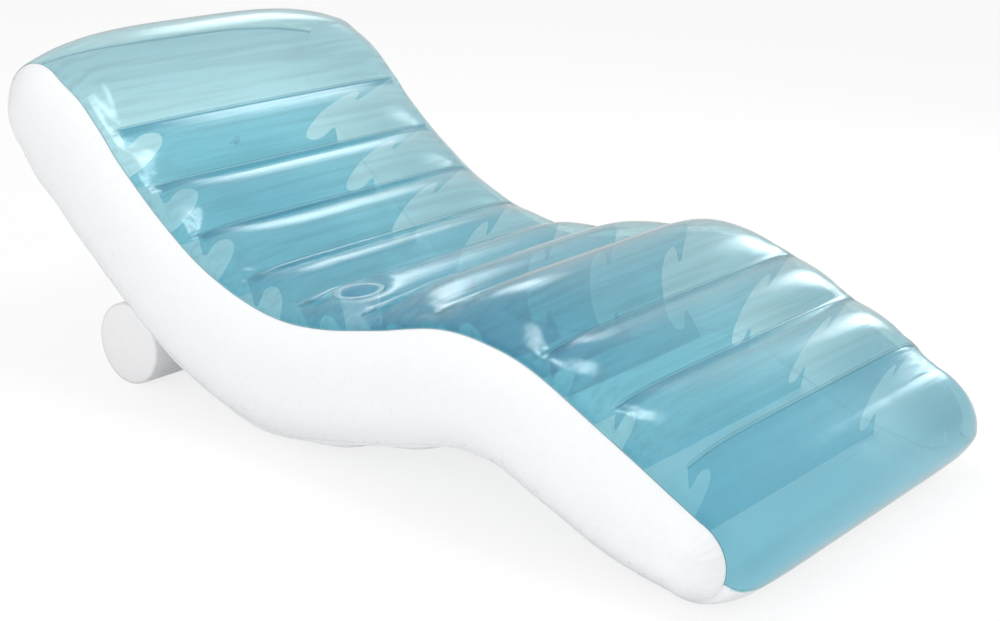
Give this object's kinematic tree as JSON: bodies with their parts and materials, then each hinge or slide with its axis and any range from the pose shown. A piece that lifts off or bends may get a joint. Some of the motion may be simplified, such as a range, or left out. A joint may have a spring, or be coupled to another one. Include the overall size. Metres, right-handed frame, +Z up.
{
  "type": "inflatable pool lounge",
  "caption": "Wave-shaped inflatable lounge with a clear aqua channelled top, white sides and underside, inner baffles, a cup pocket and a bolster under the raised back.",
  "frame": {"origin": "on the surface that the lounge rests on, under the middle of its box", "axes": "+Y towards the head end, +Z up, +X to the left of somebody lying face up with the head at the head end"},
  "size_m": [0.991, 1.9444, 0.7091],
  "materials": {
    "aqua_vinyl": "clear glossy tinted vinyl sheet",
    "baffle_vinyl": "clear glossy tinted vinyl sheet",
    "pocket_vinyl": "clear glossy blue vinyl sheet",
    "white_vinyl": "satin opaque vinyl sheet",
    "valve_vinyl": "soft translucent vinyl moulding"
  },
  "bodies": {
    "lounge": {"top_panel": "aqua_vinyl", "bottom_panel": "white_vinyl", "right_side_panel": "white_vinyl", "left_side_panel": "white_vinyl", "baffle_01": "baffle_vinyl", "baffle_02": "baffle_vinyl", "baffle_03": "baffle_vinyl", "baffle_04": "baffle_vinyl", "baffle_05": "baffle_vinyl", "baffle_06": "baffle_vinyl", "baffle_07": "baffle_vinyl", "baffle_08": "baffle_vinyl", "baffle_09": "baffle_vinyl", "baffle_10": "baffle_vinyl", "cup_rim": "pocket_vinyl", "cup_wall": "pocket_vinyl", "cup_floor": "pocket_vinyl", "bolster_wrap": "white_vinyl", "bolster_right_end": "white_vinyl", "bolster_left_end": "white_vinyl", "bolster_weld_strip": "white_vinyl", "main_valve_flange": "valve_vinyl", "bolster_valve_flange": "valve_vinyl"},
    "main_stem": {"main_valve_stem": "valve_vinyl"},
    "main_plug": {"main_valve_plug": "valve_vinyl"},
    "main_flap": {"main_valve_flap": "valve_vinyl"},
    "bolster_stem": {"bolster_valve_stem": "valve_vinyl"},
    "bolster_plug": {"bolster_valve_plug": "valve_vinyl"},
    "bolster_flap": {"bolster_valve_flap": "valve_vinyl"}
  },
  "joints": [
    {"name": "main_stem_slide", "type": "slide", "parent": "lounge", "child": "main_stem", "axis": [0.0026, 0.5078, -0.8615], "range_m": [0, 0.01]},
    {"name": "main_plug_hinge", "type": "hinge", "parent": "main_stem", "child": "main_plug", "pos_m": [0.15226, 0.85034, 0.39046], "axis": [0, -0.8615, -0.5078], "range_deg": [0, 150]},
    {"name": "main_flap_hinge", "type": "hinge", "parent": "main_stem", "child": "main_flap", "pos_m": [0.14421, 0.84103, 0.40625], "axis": [0, 0.8615, 0.5078], "range_deg": [0, 40], "stiffness_Nm_per_rad": 0.0005},
    {"name": "bolster_stem_slide", "type": "slide", "parent": "lounge", "child": "bolster_stem", "axis": [1, 0, 0], "range_m": [0, 0.01]},
    {"name": "bolster_plug_hinge", "type": "hinge", "parent": "bolster_stem", "child": "bolster_plug", "pos_m": [0.4298, 0.59189, 0.07557], "axis": [0, 1, 0], "range_deg": [0, 150]},
    {"name": "bolster_flap_hinge", "type": "hinge", "parent": "bolster_stem", "child": "bolster_flap", "pos_m": [0.41145, 0.59189, 0.08357], "axis": [0, -1, 0], "range_deg": [0, 40], "stiffness_Nm_per_rad": 0.0005}
  ]
}
